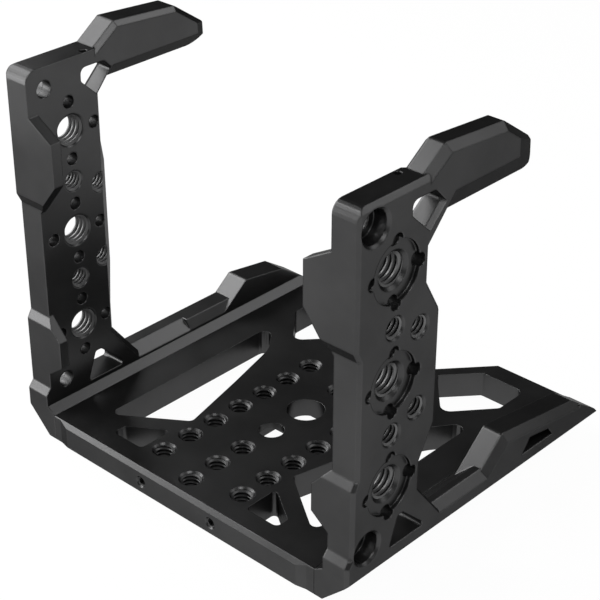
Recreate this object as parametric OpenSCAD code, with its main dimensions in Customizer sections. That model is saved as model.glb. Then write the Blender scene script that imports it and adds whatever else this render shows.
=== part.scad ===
// Open cage for a box-shaped camera: a base plate between two side plates
// whose posts rise at the front and carry arms that reach back.
// X runs across the cage, Y runs from front to rear and Z points up. The origin
// is the middle of the underside. Sizes are in millimetres.

/* [Cage] */
// Width across the outer faces of the two side plates
cage_w = 132.6; // [124:0.2:150]
// Depth from the front of the feet to the rear edge
cage_d = 117.2; // [112:0.2:130]
// Thickness of a side plate
wall_t = 8.8; // [7:0.2:12]

/* [Base plate] */
// Thickness of the base plate
base_t = 8.65; // [7:0.05:12]
// How far the middle of the front edge stands forward
lip_d = 0.7; // [0.3:0.1:2]
// Half width of the part that stands forward
lip_half_w = 48.2; // [40:0.2:50]
// Width of the slope at each end of that part
lip_ramp = 3.4; // [1:0.2:5]
// Height of the bevel along the top of the front edge
front_bevel_h = 1.65; // [0.5:0.05:3]
// Depth of the same bevel
front_bevel_d = 0.87; // [0.3:0.01:2]
// Depth of the notch in the rear edge
notch_d = 19.2; // [8:0.2:22]
// Half width of the notch at the rear edge
notch_mouth = 28.1; // [16:0.1:29]
// Half width of the notch at its floor
notch_floor = 11.3; // [6:0.1:12]

/* [Tapped grid] */
// Pitch of the tapped holes
tap_pitch = 10.8; // [9.5:0.1:12]
// Distance of the two long rows from the middle
tap_row_x = 16.4; // [14:0.1:17]
// Place of the first hole of the long rows
tap_first_y = 10.9; // [8:0.1:13]
// Number of holes in each long row
tap_row_n = 7; // [3:1:7]
// Place of the first hole of the middle row
mid_tap_y = 6.2; // [5.5:0.1:8]
// Diameter of a quarter-inch thread
quarter_d = 6.35; // [5:0.05:6.6]
// Diameter of the countersink at its mouth
quarter_sink_d = 7.5; // [6.7:0.1:9]
// Diameter of the rear clear hole
clear_big_d = 12; // [8:0.1:14]
// Place of the rear clear hole
clear_big_y = 55.7; // [52:0.1:60]
// Diameter of the front clear hole
clear_small_d = 8; // [5:0.1:9]
// Place of the front clear hole
clear_small_y = 40.3; // [38:0.1:43]
// Diameter of the two small threads in the front edge
edge_tap_d = 3; // [2:0.1:4]
// Distance of the small threads from the middle
edge_tap_x = 14.6; // [10:0.1:22]

/* [Side plates] */
// Height of the flat top of a post
post_h = 120.5; // [116:0.5:130]
// Depth of the slim parts of a post
post_d = 29.4; // [29:0.1:32]
// Depth of the wide part of a post
belly_d = 35; // [33.5:0.1:38]
// How far the foot stands in front of the post
foot_step = 1.85; // [0.5:0.05:3]
// How far the waist lies behind the rest of the post's front
waist_step = 1.55; // [0.5:0.05:2.4]
// Rounding of the front corner at the top of a post
post_round = 3.5; // [1:0.1:4.5]
// Height of the low part of a rail
rail_h = 14.6; // [13.2:0.1:17]
// Height of the raised part of a rail at its front end, if it ran that far
rail_top = 22.5; // [20:0.1:26]
// Fall of the raised part per millimetre of run
rail_fall = 0.155; // [0:0.005:0.2]
// Foot of the step on the left rail
left_step_y = 81.5; // [60:0.5:84]
// Run of the step on the left rail
left_step_run = 6.5; // [4:0.1:10]
// Foot of the step on the right rail
right_step_y = 61; // [55:0.5:84]
// Run of the step on the right rail
right_step_run = 9; // [4:0.1:12]

/* [Arms] */
// Rear end of an arm
arm_end_y = 72.4; // [66:0.2:90]
// Rise of an arm's top above the top of its post
arm_rise = 5.9; // [3:0.1:9]
// Height of an arm at its rear end
arm_h = 18.4; // [16:0.1:22]
// Width of the chamfer on the outer edges of an arm
arm_chamfer = 2.2; // [1:0.1:3]
// Width of the chamfer on the inner upper edges of an arm
arm_inner_chamfer = 1.5; // [0.5:0.1:2.5]
// Height of the wide bevel under the inner side of an arm
palm_bevel_h = 5.8; // [4:0.1:8]
// Width of the same bevel
palm_bevel_w = 6; // [3:0.1:6.5]

/* [Accessory mounts] */
// Diameter of a three-eighths thread
big_tap_d = 9.525; // [8:0.025:10]
// Distance of the mounts' line from the front of the foot
mount_y = 16.7; // [15.8:0.1:17.5]
// Height of the lowest mount
mount_first_z = 33.35; // [32:0.05:35]
// Distance of the highest mount from the top of its post
mount_top_gap = 22.05; // [20:0.05:24]
// Diameter of the round recess about a mount
recess_d = 18; // [16:0.1:19]
// Depth of the recess
recess_depth = 1.3; // [0.3:0.1:2]
// Diameter of the locating pin holes
pin_hole_d = 4; // [2:0.1:4.4]
// Diameter of the circle of the locating pin holes
pin_circle_d = 18; // [16:0.1:18.4]
// Diameter of the through holes near the ends of a post
cap_hole_d = 5.3; // [3:0.1:6]
// Diameter of their counterbores
cap_sink_d = 9.5; // [7:0.1:10]

/* [Joint between base and sides] */
// Thickness of the flange that a side plate puts under the base
flange_t = 3.5; // [3:0.1:4.5]
// Reach of the flange inward
flange_w = 12.2; // [11:0.1:12.8]
// Place of the flange's front end
flange_front = 8; // [5:0.5:11]
// Distance of the flange's rear end from the rear edge
flange_rear_gap = 7.2; // [6:0.1:12]
// Width of the bevelled foot of a side plate, beside the base's edge
ridge_w = 3.1; // [1:0.1:4]
// Height of the bevel of that foot above the base
ridge_h = 1.85; // [0.8:0.05:2.5]
// Diameter of the joint screws
screw_d = 4; // [3:0.1:4.4]
// Diameter of their heads
screw_head_d = 7.6; // [6:0.1:8]
// Length of the joint screws
screw_l = 7.4; // [6:0.1:7.6]
// Number of screws on each side
screw_n = 6; // [3:1:6]
// Diameter of the dowel pins
dowel_d = 3; // [2:0.1:4]
// Length of the dowel pins
dowel_l = 6; // [4:0.1:6.4]

/* [Hidden] */
$fn = 64;

anodised = [0.13, 0.13, 0.14];
steel = [0.45, 0.45, 0.47];

// Overrun of every cut past the face it starts from
over = 1;
// Overrun of a bevel past its mitre at an inward corner
mitre_over = 0.05;
// Clearance between pieces that slide together
fit_gap = 0.1;
// Number of straight pieces in a rounded corner
arc_steps = 5;

// Planes and edges that the pieces share
outer_x = cage_w / 2;
inner_x = outer_x - wall_t;
mid_y = (cage_d - lip_d) / 2;

// Bottom edge of a side plate: one chamfer across its whole thickness
sill_h = 8.45;

// Front profile of a post: a ramp joins each pair of levels
foot_top_z = 14.2;
foot_ramp = 2.2;
waist_low_z = 41.1;
waist_low_ramp = 2.6;
waist_top_gap = 43;
waist_high_z = post_h - waist_top_gap;
waist_high_ramp = 3.2;
post_front = foot_step;
waist_front = foot_step + waist_step;

// Rear profile of a post, from the rail up to the arm
heel_y = 38;
heel_z = 25.7;
belly_low_z = 45.5;
belly_low_ramp = 10.5;
belly_top_gap = 39.9;
belly_high_z = post_h - belly_top_gap;
belly_high_ramp = 9.8;
root_run = 6.5;
root_drop = 7.3;

// Outline of an arm
arm_foot_y = 28;
arm_brow_y = 36.3;
arm_nape_y = 60.5;
arm_nape_drop = 1.9;
arm_end_top_drop = 9.8;
arm_end_lean = 0.43;
arm_top_z = post_h + arm_rise;
arm_low_z = arm_top_z - arm_h;
root_z = arm_low_z - root_drop;
arm_tail_w = 6.4;
arm_tail_d = 1.4;
arm_inner_tail_w = 3.4;
arm_under_w = 5.2;
arm_under_d = 1.6;

// Rear end of a rail
rail_tail_gap = 11.7;
rail_tail_y = cage_d - rail_tail_gap;
rail_tail_z = 10.3;
rail_tail_run = 1.6;
rail_outer_chamfer = 2.6;
rail_inner_chamfer_w = 4;
rail_inner_chamfer_h = 3.3;
rail_inner_short_w = 2;
rail_inner_turn_y = 61.5;

// Strap slot in the right rail: a flat floor under an arched roof
slot_y = 78.1;
slot_l = 15.2;
slot_z = 11.9;
slot_front_run = 3.4;
slot_front_h = 4.7;
slot_rear_run = 2.4;
slot_rear_h = 3.1;
slot_depth = 4.4;

// Roundings of the corners of a side plate's outline
rail_round = 2;
post_corner_round = 1;
chin_round = 3.2;
arm_round = 1.5;

// Edge breaks of a side plate
edge_break = 0.9;
post_top_break = 1.4;
left_edge_break = 0.3;
left_top_break = 0.4;
left_arm_break = 0.5;
left_rail_break = 0.8;
left_raised_break = 0.6;
slim_bevel = 2;
root_bevel_w = 5.2;
root_bevel_d = 5.7;
heel_bevel = 1.7;
heel_break = 0.7;
root_break = 1.1;
raised_chamfer = 2.3;

// Tabs on the inner side of a post, from the web to their flat tips. The heights of
// the high tab are measured down from the top of the post.
tab_t = 3.6;
high_tab_reach = 9.3;
high_tab_root_drop = 13.6;
high_tab_tip_drop = 19;
high_tab_tip_l = 13.5;
high_tab_root_l = 30.6;
low_tab_reach = 6;
low_tab_root_top = 41.5;
low_tab_tip_top = 34.8;
low_tab_tip_low = 26;
low_tab_root_low = 21.5;
low_tab_t = 3.2;

// Laps of the parts of a side plate into each other
arm_lap = 8;
brace_lap = 4.4;
rail_lap = 5;
rail_start_y = 10;

// Window in the root of an arm: shares of the post's depth, of the arm's height and
// of the wall's thickness for the roundings
root_window_shares = [
  [0.743, 0.223, 0.136], [0.973, -0.125, 0.08], [1.19, 0.212, 0.102], [1.051, 0.446, 0.227],
  [0.743, 0.446, 0.227]];
// Chamfer of the slanting rear edge of that window, on the outer face
root_window_break_w = 0.8;
root_window_break_d = 1.6;
// Window in the heel: shares of the post's depth, of the rail's height and of the wall
heel_window_shares = [
  [0.585, 0.822, 0.091], [1.068, 0.822, 0.091], [1.068, 0.932, 0.091], [0.779, 1.479, 0.114],
  [0.701, 1.479, 0.114]];

// Mounts on a side plate
mount_n = 3;
big_sink_d = 11.6;
big_inner_sink_d = 10.4;
quarter_inner_sink_d = 6.9;
side_tap_dy = 10;
side_tap_share = 0.3825;
cap_hole_y = 8.2;
cap_top_gap = 6.6;
cap_low_z = 17.1;
cap_sink_depth = 5;
cap_break = 0.8;
guide_hole_d = 2.2;
guide_hole_in = 1.4;
guide_hole_front = 3.5;
guide_hole_depth = 3;
mount_pitch = (post_h - mount_top_gap - mount_first_z) / (mount_n - 1);
mount_mid_z = mount_first_z + mount_pitch;

// Windows of the base plate, right half: shares of the inner half width, of the depth
// and of the base's thickness for the roundings
front_window_shares = [
  [0.3826, 0.0563, 0.173], [0.5965, 0.0563, 0.208], [0.5965, 0.0939, 0.173], [0.3826, 0.1647, 0.139]];
side_window_shares = [
  [0.3687, 0.2312, 0.231], [0.7496, 0.1015, 0.231], [0.7496, 0.7389, 0.289], [0.5757, 0.6237, 1.387],
  [0.4765, 0.4437, 6.936]];
rear_window_shares = [
  [0.2991, 0.8464, 0.173], [0.5478, 0.7116, 0.347], [0.7565, 0.8328, 0.231], [0.7565, 0.942, 0.347],
  [0.4713, 0.942, 0.116]];

// Channel under the middle of the base plate
channel_half_w = 8.2;
channel_deep_y = 34;
channel_step_y = 48;
channel_rear_y = 63.6;
channel_deep = 6.65;
channel_shallow = 2.4;

// Middle row of tapped holes: three in front of the clear holes and one behind
mid_taps = [0, 1, 2, 6];

// Small threads in the front edge
edge_tap_z = 3.65;
edge_tap_depth = 8;
edge_sink_d = 3.9;

// Screws and dowels of the joint
joint_x = inner_x - (flange_w + ridge_w) / 2;
joint_end_gap = 6;
flange_rear = cage_d - flange_rear_gap;
joint_front = flange_front + joint_end_gap;
joint_rear = flange_rear - joint_end_gap;
joint_pitch = (joint_rear - joint_front) / (screw_n - 1);
screw_sunk = 0.2;
screw_rim = 0.4;
screw_hole_gap = 0.4;
screw_tip = screw_sunk + screw_l;
socket_d = 2.9;
socket_depth = 1.4;
dowel_z = 0.6;
left = -1;
right = 1;

// Direction of a vector
function unit(v) = v / norm(v);

// Points that round the corner b between a and c
function corner_arc(a, b, c, r) =
  let (
    u = unit(a - b),
    v = unit(c - b),
    half = acos(u * v) / 2,
    centre = b + unit(u + v) * r / sin(half),
    from = b + u * r / tan(half) - centre,
    to = b + v * r / tan(half) - centre,
    start = atan2(from.y, from.x),
    turn = (atan2(to.y, to.x) - start + 540) % 360 - 180
  )
  [for (i = [0:arc_steps]) centre + r * [cos(start + turn * i / arc_steps), sin(start + turn * i / arc_steps)]];

// Outline with rounded corners, from points that each hold two places and a radius
function rounded(points) =
  let (n = len(points))
  [for (i = [0:n - 1])
    let (a = points[(i + n - 1) % n], b = points[i], c = points[(i + 1) % n])
    each b.z == 0 ? [[b.x, b.y]] : corner_arc([a.x, a.y], [b.x, b.y], [c.x, c.y], b.z)];

// Points of a table of shares, as places from a start and a radius
function spread(shares, start, along_u, along_v, round_size) =
  [for (p = shares) [start.x + p.x * along_u, start.y + p.y * along_v, p.z * round_size]];

// Point at the place y of the line through a and b
function on_line(a, b, y) = [y, a.y + (b.y - a.y) * (y - a.x) / (b.x - a.x)];

// Height of a rail's raised top at a place along it
function rail_z(y) = rail_top - rail_fall * (y - right_step_y - right_step_run);

// Moves a piece from the front of the feet to the middle of the cage
module place() {
  translate([0, -mid_y, 0]) children();
}

// Both halves of what is drawn on the right
module both_sides() {
  children();
  mirror([1, 0, 0]) children();
}

// An outline of Y and Z places, as a slab between two X places
module slab(from_x, to_x, points) {
  translate([from_x, 0, 0])
    rotate([90, 0, 90])
      linear_extrude(to_x - from_x)
        polygon(points);
}

// Hole across a side plate
module cross_hole(y, z, d, from_x = inner_x - over, to_x = outer_x + over) {
  translate([from_x, y, z])
    rotate([0, 90, 0])
      cylinder(d = d, h = to_x - from_x);
}

// Countersink in a face: the mouth lies in the face and side tells which way is out
module cross_sink(y, z, d, mouth_d, face_x, side) {
  depth = (mouth_d - d) / 2;
  translate([face_x, y, z])
    rotate([0, side * 90, 0])
      translate([0, 0, -depth])
        cylinder(d1 = d, d2 = mouth_d + 2 * over, h = depth + over);
}

// Bevel along the edge a-b of a slab's outline, on the face at face_x.
// It takes w off the face and d off the thickness; side tells which way is out.
// The cut runs past a and b by the two lengths in past.
module edge_bevel(a, b, w, d, face_x, side, past) {
  run = norm(b - a);
  translate([face_x, a.x, a.y])
    rotate([atan2(b.y - a.y, b.x - a.x), 0, 0])
      translate([0, run + past[1], 0])
        rotate([90, 0, 0])
          linear_extrude(run + past[0] + past[1])
            polygon([[side * d, 2 * w], [side * d, -w], [-side * 2 * d, -w]]);
}

// How far a bevel of width w runs past the corner b: beyond the solid where the
// corner stands out, and just past the mitre where it folds in
function bevel_past(a, b, c, w) =
  let (u = unit(b - a), v = unit(c - b), turn = cross(u, v))
  turn > 0 ? w + over : w * tan(acos(min(1, u * v)) / 2) + mitre_over;

// Bevels along a run of outline points, which keeps the solid on its left.
// The lengths in ends are what the run goes past its own two ends.
module bevels(points, w, d, face_x, side, ends = [0, 0]) {
  last = len(points) - 2;
  for (i = [0:last])
    edge_bevel(points[i], points[i + 1], w, d, face_x, side, [
      i == 0 ? ends[0] : bevel_past(points[i - 1], points[i], points[i + 1], w),
      i == last ? ends[1] : bevel_past(points[i], points[i + 1], points[i + 2], w)]);
}

// Tapped grid, clear holes and threads of the front edge
module base_holes() {
  for (side = [left, right], i = [0:tap_row_n - 1])
    floor_tap(side * tap_row_x, tap_first_y + i * tap_pitch);
  for (i = mid_taps)
    floor_tap(0, mid_tap_y + i * tap_pitch);
  translate([0, clear_big_y, -over]) cylinder(d = clear_big_d, h = base_t + 2 * over);
  translate([0, clear_small_y, -over]) cylinder(d = clear_small_d, h = base_t + 2 * over);
  for (side = [left, right])
    translate([side * edge_tap_x, -lip_d, edge_tap_z])
      rotate([-90, 0, 0]) {
        translate([0, 0, -over]) cylinder(d = edge_tap_d, h = edge_tap_depth + over);
        translate([0, 0, -over])
          cylinder(d1 = edge_sink_d + 2 * over, d2 = edge_tap_d, h = (edge_sink_d - edge_tap_d) / 2 + over);
      }
}

// Tapped hole through the floor, countersunk at both ends
module floor_tap(x, y) {
  depth = (quarter_sink_d - quarter_d) / 2;
  translate([x, y, -over]) cylinder(d = quarter_d, h = base_t + 2 * over);
  translate([x, y, base_t - depth]) cylinder(d1 = quarter_d, d2 = quarter_sink_d + 2 * over, h = depth + over);
  translate([x, y, -over]) cylinder(d1 = quarter_sink_d + 2 * over, d2 = quarter_d, h = depth + over);
}

// Windows and the notch that lighten the base plate
module base_windows() {
  both_sides()
    for (shares = [front_window_shares, side_window_shares, rear_window_shares])
      translate([0, 0, -over])
        linear_extrude(base_t + 2 * over)
          polygon(rounded(spread(shares, [0, 0], inner_x, cage_d, base_t)));
  translate([0, cage_d, -over])
    linear_extrude(base_t + 2 * over)
      polygon([
        [-notch_mouth, over], [-notch_mouth, 0], [-notch_floor, -notch_d],
        [notch_floor, -notch_d], [notch_mouth, 0], [notch_mouth, over]]);
}

// Channel for a sliding plate or strap under the middle of the base plate
module base_channel() {
  translate([-channel_half_w, channel_deep_y, -over])
    cube([2 * channel_half_w, channel_step_y - channel_deep_y, channel_deep + over]);
  translate([-channel_half_w, channel_step_y - over, -over])
    cube([2 * channel_half_w, channel_rear_y - channel_step_y + over, channel_shallow + over]);
}

// Underside rebates that take the flanges, with the holes of the joint
module base_rebates() {
  both_sides() {
    translate([inner_x - flange_w - fit_gap, flange_front - fit_gap, -over])
      cube([flange_w + fit_gap + over, flange_rear - flange_front + 2 * fit_gap, flange_t + over]);
    for (i = [0:screw_n - 1])
      translate([joint_x, joint_front + i * joint_pitch, flange_t - over])
        cylinder(d = screw_d + fit_gap, h = screw_tip + fit_gap - flange_t + over);
    for (i = [0, 1])
      translate([joint_x, dowel_y(i), flange_t - over])
        cylinder(d = dowel_d + fit_gap, h = dowel_z + dowel_l + fit_gap - flange_t + over);
  }
}

// Place of the front (0) or the rear (1) dowel, half way between two screws
function dowel_y(i) = i == 0 ? joint_front + joint_pitch / 2 : joint_rear - joint_pitch / 2;

module base_plate() {
  edge = inner_x - ridge_w - fit_gap;
  color(anodised)
    place()
      difference() {
        linear_extrude(base_t)
          polygon([
            [-edge, 0], [-lip_half_w - lip_ramp, 0], [-lip_half_w, -lip_d], [lip_half_w, -lip_d],
            [lip_half_w + lip_ramp, 0], [edge, 0], [edge, cage_d], [-edge, cage_d]]);
        translate([0, -lip_d, base_t])
          rotate([90, 0, 90])
            linear_extrude(cage_w, center = true)
              polygon([
                [-front_bevel_d, -2 * front_bevel_h], [2 * front_bevel_d, front_bevel_h],
                [-front_bevel_d, front_bevel_h]]);
        base_windows();
        base_holes();
        base_channel();
        base_rebates();
      }
}

// Points of a side plate's outline, which name its corners from the foot round to the arm
foot_low = [0, 0];
foot_high = [0, foot_top_z];
shin_low = [post_front, foot_top_z + foot_ramp];
shin_high = [post_front, waist_low_z - waist_low_ramp];
waist_low = [waist_front, waist_low_z];
waist_high = [waist_front, waist_high_z];
chest_low = [post_front, waist_high_z + waist_high_ramp];
brow = [post_front, post_h];
arm_foot = [arm_foot_y, post_h];
arm_brow = [arm_brow_y, arm_top_z];
arm_nape = [arm_nape_y, arm_top_z - arm_nape_drop];
arm_end_high = [arm_end_y - arm_end_lean, arm_top_z - arm_end_top_drop];
arm_chin = [arm_end_y, arm_low_z];

// Breaks of the outer edges: post, its top, arm, low and raised part of the rail
left_breaks = [left_edge_break, left_top_break, left_arm_break, left_rail_break, left_raised_break];
right_breaks = [edge_break, post_top_break, arm_chamfer, rail_outer_chamfer, raised_chamfer];
arm_root = [post_d + root_run, arm_low_z];
back_high = [post_d, root_z];
back_low = [post_d, belly_high_z + belly_high_ramp];
belly_high = [belly_d, belly_high_z];
belly_low = [belly_d, belly_low_z];
loin_high = [post_d, belly_low_z - belly_low_ramp];
loin_low = [post_d, heel_z];
heel = [heel_y, rail_h];
rail_tail = [cage_d - rail_tail_run, rail_tail_z];

// Top of the step of a rail, and the end of its raised part
function rail_peak(step_y, step_run) = [step_y + step_run, rail_z(step_y + step_run)];
function rail_end() = [rail_tail_y, rail_z(rail_tail_y)];

// Outline of a post, whose lower rear edge lies inside the rail
function post_outline() = [
  [foot_low.x, foot_low.y, 0], [post_d, 0, 0],
  for (p = [loin_high, belly_low, belly_high, back_low]) [p.x, p.y, post_corner_round],
  [post_d, post_h, 0], [brow.x, brow.y, post_round],
  for (p = [chest_low, waist_high, waist_low, shin_high, shin_low, foot_high])
    [p.x, p.y, post_corner_round]];

// Ends of the lines along which the parts of a side plate run into each other
arm_start = on_line(arm_foot, arm_brow, arm_foot_y - arm_lap);
arm_under_start = [arm_start.x, arm_low_z];
brace_low = on_line(back_high, arm_root, post_d - brace_lap);
brace_rise = arm_low_z + palm_bevel_h + over - back_high.y;
brace_high = back_high + (arm_root - back_high) * brace_rise / root_drop;
heel_brace_high = on_line(loin_low, heel, post_d - brace_lap);
heel_brace_low = on_line(loin_low, heel, heel_y + brace_lap);
post_back_high = [post_d, post_h];

// Tab that a post carries on its inner side, drawn across X and Z
module tab(reach, root_top, tip_top, tip_low, root_low, back) {
  translate([0, back, 0])
    rotate([90, 0, 0])
      linear_extrude(back)
        polygon([
          [inner_x + over, root_top], [inner_x, root_top], [inner_x - reach, tip_top],
          [inner_x - reach, tip_low], [inner_x, root_low], [inner_x + over, root_low]]);
}

// Post with its tabs and the bevels of its edges
module post(edge, top_edge) {
  difference() {
    intersection() {
      union() {
        translate([inner_x, 0, 0]) cube([wall_t, belly_d + over, post_h + over]);
        tab(high_tab_reach, post_h - high_tab_root_drop, post_h - high_tab_tip_drop,
          post_h - high_tab_tip_drop - high_tab_tip_l, post_h - high_tab_root_drop - high_tab_root_l,
          post_front + tab_t);
        tab(low_tab_reach, low_tab_root_top, low_tab_tip_top, low_tab_tip_low, low_tab_root_low,
          post_front + low_tab_t);
      }
      slab(inner_x - flange_w, outer_x, rounded(post_outline()));
    }
    bevels([post_back_high, brow], top_edge, top_edge, outer_x, right, [over, over]);
    bevels([brow, chest_low, waist_high, waist_low, shin_high, shin_low, foot_high, foot_low],
      edge, edge, outer_x, right, [over, over]);
    bevels([[post_d, 0], loin_high, belly_low, belly_high, back_low, post_back_high],
      edge, edge, outer_x, right, [over, over]);
    // One straight bevel along the inner rear edge, wider where the post is deeper
    back_bevel();
  }
}

// Straight bevel of the post's inner rear edge
module back_bevel() {
  reach = belly_d - post_d + slim_bevel + over;
  translate([inner_x, post_d - slim_bevel, -over])
    linear_extrude(post_h + 2 * over)
      polygon([[-over, -over], [reach, reach], [-over, reach]]);
}

// Arm with the bevels of its edges
module arm(edge) {
  tail_past = arm_tail_w + over;
  palm_past = palm_bevel_h + over;
  difference() {
    slab(inner_x, outer_x, rounded([
      [arm_under_start.x, arm_under_start.y, 0], [arm_chin.x, arm_chin.y, chin_round],
      [arm_end_high.x, arm_end_high.y, arm_round], [arm_nape.x, arm_nape.y, arm_round],
      [arm_brow.x, arm_brow.y, arm_round], [arm_start.x, arm_start.y, 0]]));
    bevels([arm_end_high, arm_nape, arm_brow, arm_start], edge, edge, outer_x, right, [tail_past, over]);
    bevels([arm_chin, arm_end_high], arm_tail_w, arm_tail_d, outer_x, right, [over, tail_past]);
    bevels([arm_under_start, arm_chin], arm_under_w, arm_under_d, outer_x, right, [over, over]);
    bevels([arm_end_high, arm_nape, arm_brow, arm_start],
      arm_inner_chamfer, arm_inner_chamfer, inner_x, left, [palm_past, over]);
    bevels([arm_chin, arm_end_high], arm_inner_tail_w, arm_tail_d, inner_x, left, [over, palm_past]);
    bevels([arm_under_start, arm_chin], palm_bevel_h, palm_bevel_w, inner_x, left, [over, over]);
  }
}

// Slanting part between a post and its arm
module root_brace() {
  difference() {
    slab(inner_x, outer_x, [brace_low, brace_high, [brace_low.x, brace_high.y]]);
    bevels([brace_low, brace_high], root_break, root_break, outer_x, right, [over, over]);
    bevels([brace_low, brace_high], root_bevel_w, root_bevel_d, inner_x, left, [over, over]);
  }
}

// Slanting part between a post and its rail
module heel_brace() {
  difference() {
    slab(inner_x, outer_x, [[heel_brace_high.x, heel_brace_low.y], heel_brace_low, heel_brace_high]);
    bevels([heel_brace_low, heel_brace_high], heel_break, heel_break, outer_x, right, [over, over]);
    bevels([heel_brace_low, heel_brace_high], heel_bevel, heel_bevel, inner_x, left, [over, over]);
  }
}

// Low part of a rail, which ends inside the raised part
module low_rail(end_y, edge) {
  wide_end = min(rail_inner_turn_y, end_y);
  difference() {
    slab(inner_x, outer_x, [[rail_start_y, 0], [end_y, 0], [end_y, rail_h], [rail_start_y, rail_h]]);
    bevels([[end_y, rail_h], [rail_start_y, rail_h]], edge, edge, outer_x, right, [over, over]);
    bevels([[wide_end, rail_h], [rail_start_y, rail_h]],
      rail_inner_chamfer_h, rail_inner_chamfer_w, inner_x, left, [0, over]);
    if (end_y > wide_end)
      bevels([[end_y, rail_h], [wide_end, rail_h]],
        rail_inner_chamfer_h, rail_inner_short_w, inner_x, left, [over, 0]);
  }
}

// Raised part of a rail, up its step and down to the rear end
module raised_rail(step_y, step_run, edge) {
  peak = rail_peak(step_y, step_run);
  start = on_line([step_y, rail_h], peak, step_y - rail_lap);
  difference() {
    slab(inner_x, outer_x, rounded([
      [start.x, 0, 0], [cage_d, 0, 0], [cage_d, base_t, 0], [rail_tail.x, rail_tail.y, 0],
      [rail_end().x, rail_end().y, 0], [peak.x, peak.y, rail_round], [start.x, start.y, 0]]));
    bevels([rail_end(), peak, start], edge, edge, outer_x, right, [edge, over]);
  }
}

// Foot of a side plate beside the base plate, with the flange that reaches under it
module inner_foot() {
  translate([inner_x - flange_w, flange_front, 0])
    cube([flange_w + over, flange_rear - flange_front, flange_t]);
  intersection() {
    translate([0, cage_d, 0])
      rotate([90, 0, 0])
        linear_extrude(cage_d)
          polygon([
            [inner_x + over, 0], [inner_x - ridge_w, 0], [inner_x - ridge_w, base_t],
            [inner_x, base_t + ridge_h], [inner_x + over, base_t + ridge_h]]);
    slab(inner_x - flange_w, outer_x, [
      [0, 0], [cage_d, 0], [cage_d, base_t], [rail_tail.x, rail_tail.y],
      [rail_end().x, rail_end().y], [0, rail_end().y]]);
  }
}

// Full-thickness chamfer along the bottom edge
module sill_bevel() {
  translate([0, -over, 0])
    rotate([90, 0, 0])
      mirror([0, 0, 1])
        linear_extrude(cage_d + 2 * over)
          polygon([
            [inner_x - wall_t, -sill_h], [outer_x + wall_t, -sill_h], [outer_x + wall_t, 2 * sill_h]]);
}

// Threaded mount with its recess, countersinks and four locating pin holes
module accessory_mount(z) {
  cross_hole(mount_y, z, big_tap_d);
  cross_hole(mount_y, z, recess_d, outer_x - recess_depth);
  cross_sink(mount_y, z, big_tap_d, big_sink_d, outer_x - recess_depth, right);
  cross_sink(mount_y, z, big_tap_d, big_inner_sink_d, inner_x, left);
  for (a = [0:90:270])
    cross_hole(mount_y + pin_circle_d / 2 * cos(a), z + pin_circle_d / 2 * sin(a), pin_hole_d);
}

// Quarter-inch threaded hole across a side plate
module side_tap(y, z) {
  cross_hole(y, z, quarter_d);
  cross_sink(y, z, quarter_d, quarter_sink_d, outer_x, right);
  cross_sink(y, z, quarter_d, quarter_inner_sink_d, inner_x, left);
}

// Counterbored hole near an end of a post
module cap_hole(z) {
  cross_hole(cap_hole_y, z, cap_hole_d, inner_x - high_tab_reach - over);
  cross_hole(cap_hole_y, z, cap_sink_d, outer_x - cap_sink_depth);
  cross_sink(cap_hole_y, z, cap_sink_d, cap_sink_d + 2 * cap_break, outer_x, right);
}

// All holes across a side plate
module side_holes() {
  for (i = [0:mount_n - 1])
    accessory_mount(mount_first_z + i * mount_pitch);
  for (side = [left, right]) {
    side_tap(mount_y, mount_mid_z + side * mount_pitch / 2);
    side_tap(mount_y + side_tap_dy, mount_mid_z + side * side_tap_share * mount_pitch);
  }
  cap_hole(post_h - cap_top_gap);
  cap_hole(cap_low_z);
  translate([inner_x + guide_hole_in, arm_foot_y - guide_hole_front, post_h - guide_hole_depth])
    cylinder(d = guide_hole_d, h = guide_hole_depth + over);
  root_window = spread(root_window_shares, [0, arm_low_z], post_d, arm_h, wall_t);
  slab(inner_x - over, outer_x + over, rounded(root_window));
  bevels([for (i = [2, 1]) [root_window[i].x, root_window[i].y]],
    root_window_break_w, root_window_break_d, outer_x, right);
  slab(inner_x - over, outer_x + over,
    rounded(spread(heel_window_shares, [0, 0], post_d, rail_h, wall_t)));
}

// Holes of the joint in a flange: countersunk for the screws, plain for the dowels
module flange_holes() {
  for (i = [0:screw_n - 1])
    translate([joint_x, joint_front + i * joint_pitch, -over]) {
      cylinder(d = screw_d + screw_hole_gap, h = flange_t + 2 * over);
      cylinder(d = screw_head_d + 2 * fit_gap, h = over + screw_sunk + screw_rim);
      translate([0, 0, over + screw_sunk + screw_rim])
        cylinder(d1 = screw_head_d + 2 * fit_gap, d2 = screw_d, h = (screw_head_d - screw_d) / 2 + fit_gap);
    }
  for (i = [0, 1])
    translate([joint_x, dowel_y(i), -over])
      cylinder(d = dowel_d + fit_gap, h = flange_t + 2 * over);
}

// Strap slot in the outer side of a rail
module strap_slot() {
  slab(outer_x - slot_depth, outer_x + over, [
    [slot_y, slot_z], [slot_y + slot_l, slot_z], [slot_y + slot_l - slot_rear_run, slot_z + slot_rear_h],
    [slot_y + slot_front_run, slot_z + slot_front_h]]);
}

// A side plate, drawn on the right
module side_plate(step_y, step_run, slotted, breaks) {
  difference() {
    union() {
      post(breaks[0], breaks[1]);
      arm(breaks[2]);
      root_brace();
      heel_brace();
      low_rail(step_y + step_run, breaks[3]);
      raised_rail(step_y, step_run, breaks[4]);
      inner_foot();
    }
    sill_bevel();
    side_holes();
    flange_holes();
    if (slotted) strap_slot();
  }
}

module left_side_plate() {
  color(anodised)
    place()
      mirror([1, 0, 0])
        side_plate(left_step_y, left_step_run, false, left_breaks);
}

module right_side_plate() {
  color(anodised)
    place()
      side_plate(right_step_y, right_step_run, true, right_breaks);
}

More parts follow.
